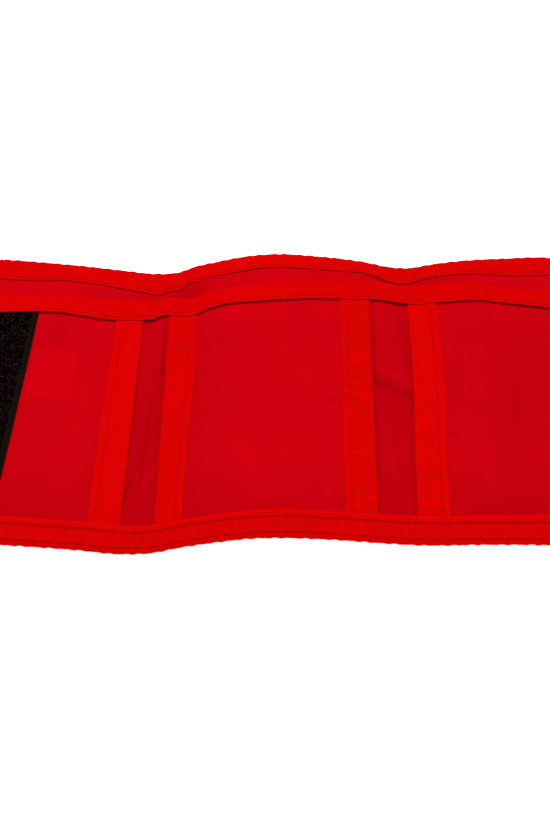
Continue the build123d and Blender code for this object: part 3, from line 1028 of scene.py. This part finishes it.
def on_pile(a, c, h):
    """The loop strip's face, lumpy under its pile."""
    lump = 0.10 * np.sin(2.3 * a + 1.7 * c) * np.sin(2.9 * c - 1.3 * a)
    return on_loop_strip(a, c, h + lump * (h > FRONT_H + 0.55))


def make_loop_strip():
    top = MOUTH - TAPE + 1.0
    shape = Shape()
    across = spaced(0, STRIP_W, 0.5)
    cloth_strip(shape, on_loop_strip, spaced(13.0, top, 0.8), across, FRONT_H + 0.3)
    across = spaced(STRIP_EDGE, STRIP_W - STRIP_EDGE, 0.45)
    cloth_strip(
        shape, on_pile, spaced(13.2, top - 0.2, 0.45), across, FRONT_H + 0.45,
        lambda a, c: 0.3 + 0.15 * np.sin(3.1 * a) * np.sin(2.7 * c), slot=1,
    )
    for row in (STRIP_ROW, STRIP_W - STRIP_ROW):
        sewn_row(shape, on_loop_strip, (13.5, top - 1), row, FRONT_H + 0.6, 0.3, slot=2)
    loop_pile(shape, on_loop_strip, (13.6, top - 0.5), (2.3, STRIP_W - 2.3), FRONT_H + 0.62, 1)
    loop = shape.make("loop_strip_cloth", [LOOP_EDGE, LOOP, LOOP_EDGE])
    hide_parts("loop_strip")
    pocket_blend(loop)


def on_hook_strip(a, c, h):
    """a up the band, c from the strip's left edge."""
    return raised(back_base, HOOK_LOW.x + c, a, h)


def make_hook_strip():
    low, high = HOOK_LOW.y - BOTTOM, HOOK_HIGH.y - BOTTOM
    shape = Shape()
    cloth_strip(shape, on_hook_strip, spaced(low, high, 1.2), spaced(0, STRIP_W, 0.8), 0.1)
    for row in (STRIP_ROW, STRIP_W - STRIP_ROW):
        sewn_row(shape, on_hook_strip, (low + 1, high - 1), row, 0.28, 0.3, slot=0)
    hook_pile(shape, on_hook_strip, (low + 1.5, high - 1.5), (2.4, STRIP_W - 2.4), 0.12, 0)
    hook = shape.make("hook_strip_pile", [HOOK])
    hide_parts("hook_strip")
    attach(hook, f"panel_{POCKETS}")


def make_label():
    """The plain label behind the first pocket's cloth."""
    shape = Shape()
    cloth_strip(
        shape, on_front, spaced(LABEL_LOW.x, LABEL_HIGH.x, 1.0),
        spaced(LABEL_LOW.y - BOTTOM, LABEL_HIGH.y - BOTTOM, 1.0), FRONT_H - 0.4,
    )
    label = shape.make("label_cloth_piece", [LABEL])
    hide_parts("pocket_label")
    pocket_blend(label)


for fold in range(POCKETS - 1):
    make_back_length(fold)
for pocket in range(POCKETS):
    make_pocket_half(pocket, -1, "left")
    make_pocket_half(pocket, 1, "right")
make_end_tape(-1, "left", "panel_1")
make_end_tape(1, "right", f"panel_{POCKETS}")
make_loop_strip()
make_hook_strip()
make_label()


# ---- floor, light and camera, in metres ----
FLOOR_HALF = 14.0
FLOOR_Z = -0.0002


def stage_floor():
    mesh = bpy.data.meshes.new("floor")
    corners = [(-1, -1), (1, -1), (1, 1), (-1, 1)]
    points = [(x * FLOOR_HALF, y * FLOOR_HALF, FLOOR_Z) for x, y in corners]
    mesh.from_pydata(points, [], [(0, 1, 2, 3)])
    floor = bpy.data.objects.new("floor", mesh)
    bpy.context.collection.objects.link(floor)
    made = bpy.data.materials.new("floor")
    made.use_nodes = True
    shader = made.node_tree.nodes["Principled BSDF"]
    shader.inputs["Base Color"].default_value = (0.95, 0.95, 0.95, 1)
    shader.inputs["Roughness"].default_value = 0.9
    shader.inputs["Specular IOR Level"].default_value = 0.0
    shader.inputs["Emission Color"].default_value = (1, 1, 1, 1)
    shader.inputs["Emission Strength"].default_value = 0.9
    mesh.materials.append(made)


def soft_light(name, place, aim, size, power):
    """A square area lamp at place, turned towards aim."""
    lamp = bpy.data.lights.new(name, "AREA")
    lamp.shape = "RECTANGLE"
    lamp.size = size
    lamp.size_y = size
    lamp.energy = power
    made = bpy.data.objects.new(name, lamp)
    made.location = place
    made.rotation_mode = "QUATERNION"
    made.rotation_quaternion = (Vector(aim) - Vector(place)).to_track_quat("-Z", "Y")
    bpy.context.collection.objects.link(made)


def white_world(strength):
    world = bpy.data.worlds.new("studio")
    world.use_nodes = True
    background = world.node_tree.nodes["Background"]
    background.inputs["Color"].default_value = (1, 1, 1, 1)
    background.inputs["Strength"].default_value = strength
    bpy.context.scene.world = world


stage_floor()
soft_light("overhead", (-0.15, 0.28, 0.88), (-0.08, 0, 0), 0.7, 8.3)
soft_light("front", (0.25, -0.9, 0.8), (-0.05, 0, 0), 0.9, 2.4)
white_world(0.40)
bpy.context.scene.view_settings.view_transform = "Standard"

CAMERA_DOWN = 48.0  # degrees below the horizon
CAMERA_TURN = 0.6  # degrees towards the band's left
CAMERA_HEIGHT = 367.4  # millimetres above the floor
CAMERA_BACK = 274.0  # millimetres over the ground to the closed edge
CAMERA_X = CENTRES[1] + 5.05
FOCAL_PIXELS = 1518.0
FRAME_LONG_SIDE = 825  # pixels
camera = bpy.data.cameras.new("camera")
camera.sensor_fit = "AUTO"
camera.sensor_width = 36.0
camera.lens = camera.sensor_width * FOCAL_PIXELS / FRAME_LONG_SIDE
camera.clip_start = 0.01
camera.clip_end = 20
eye = bpy.data.objects.new("camera", camera)
eye.location = (CAMERA_X * MM, (BOTTOM - CAMERA_BACK) * MM, CAMERA_HEIGHT * MM)
eye.rotation_euler = (math.radians(90 - CAMERA_DOWN), 0, math.radians(CAMERA_TURN))
bpy.context.collection.objects.link(eye)
bpy.context.scene.camera = eye
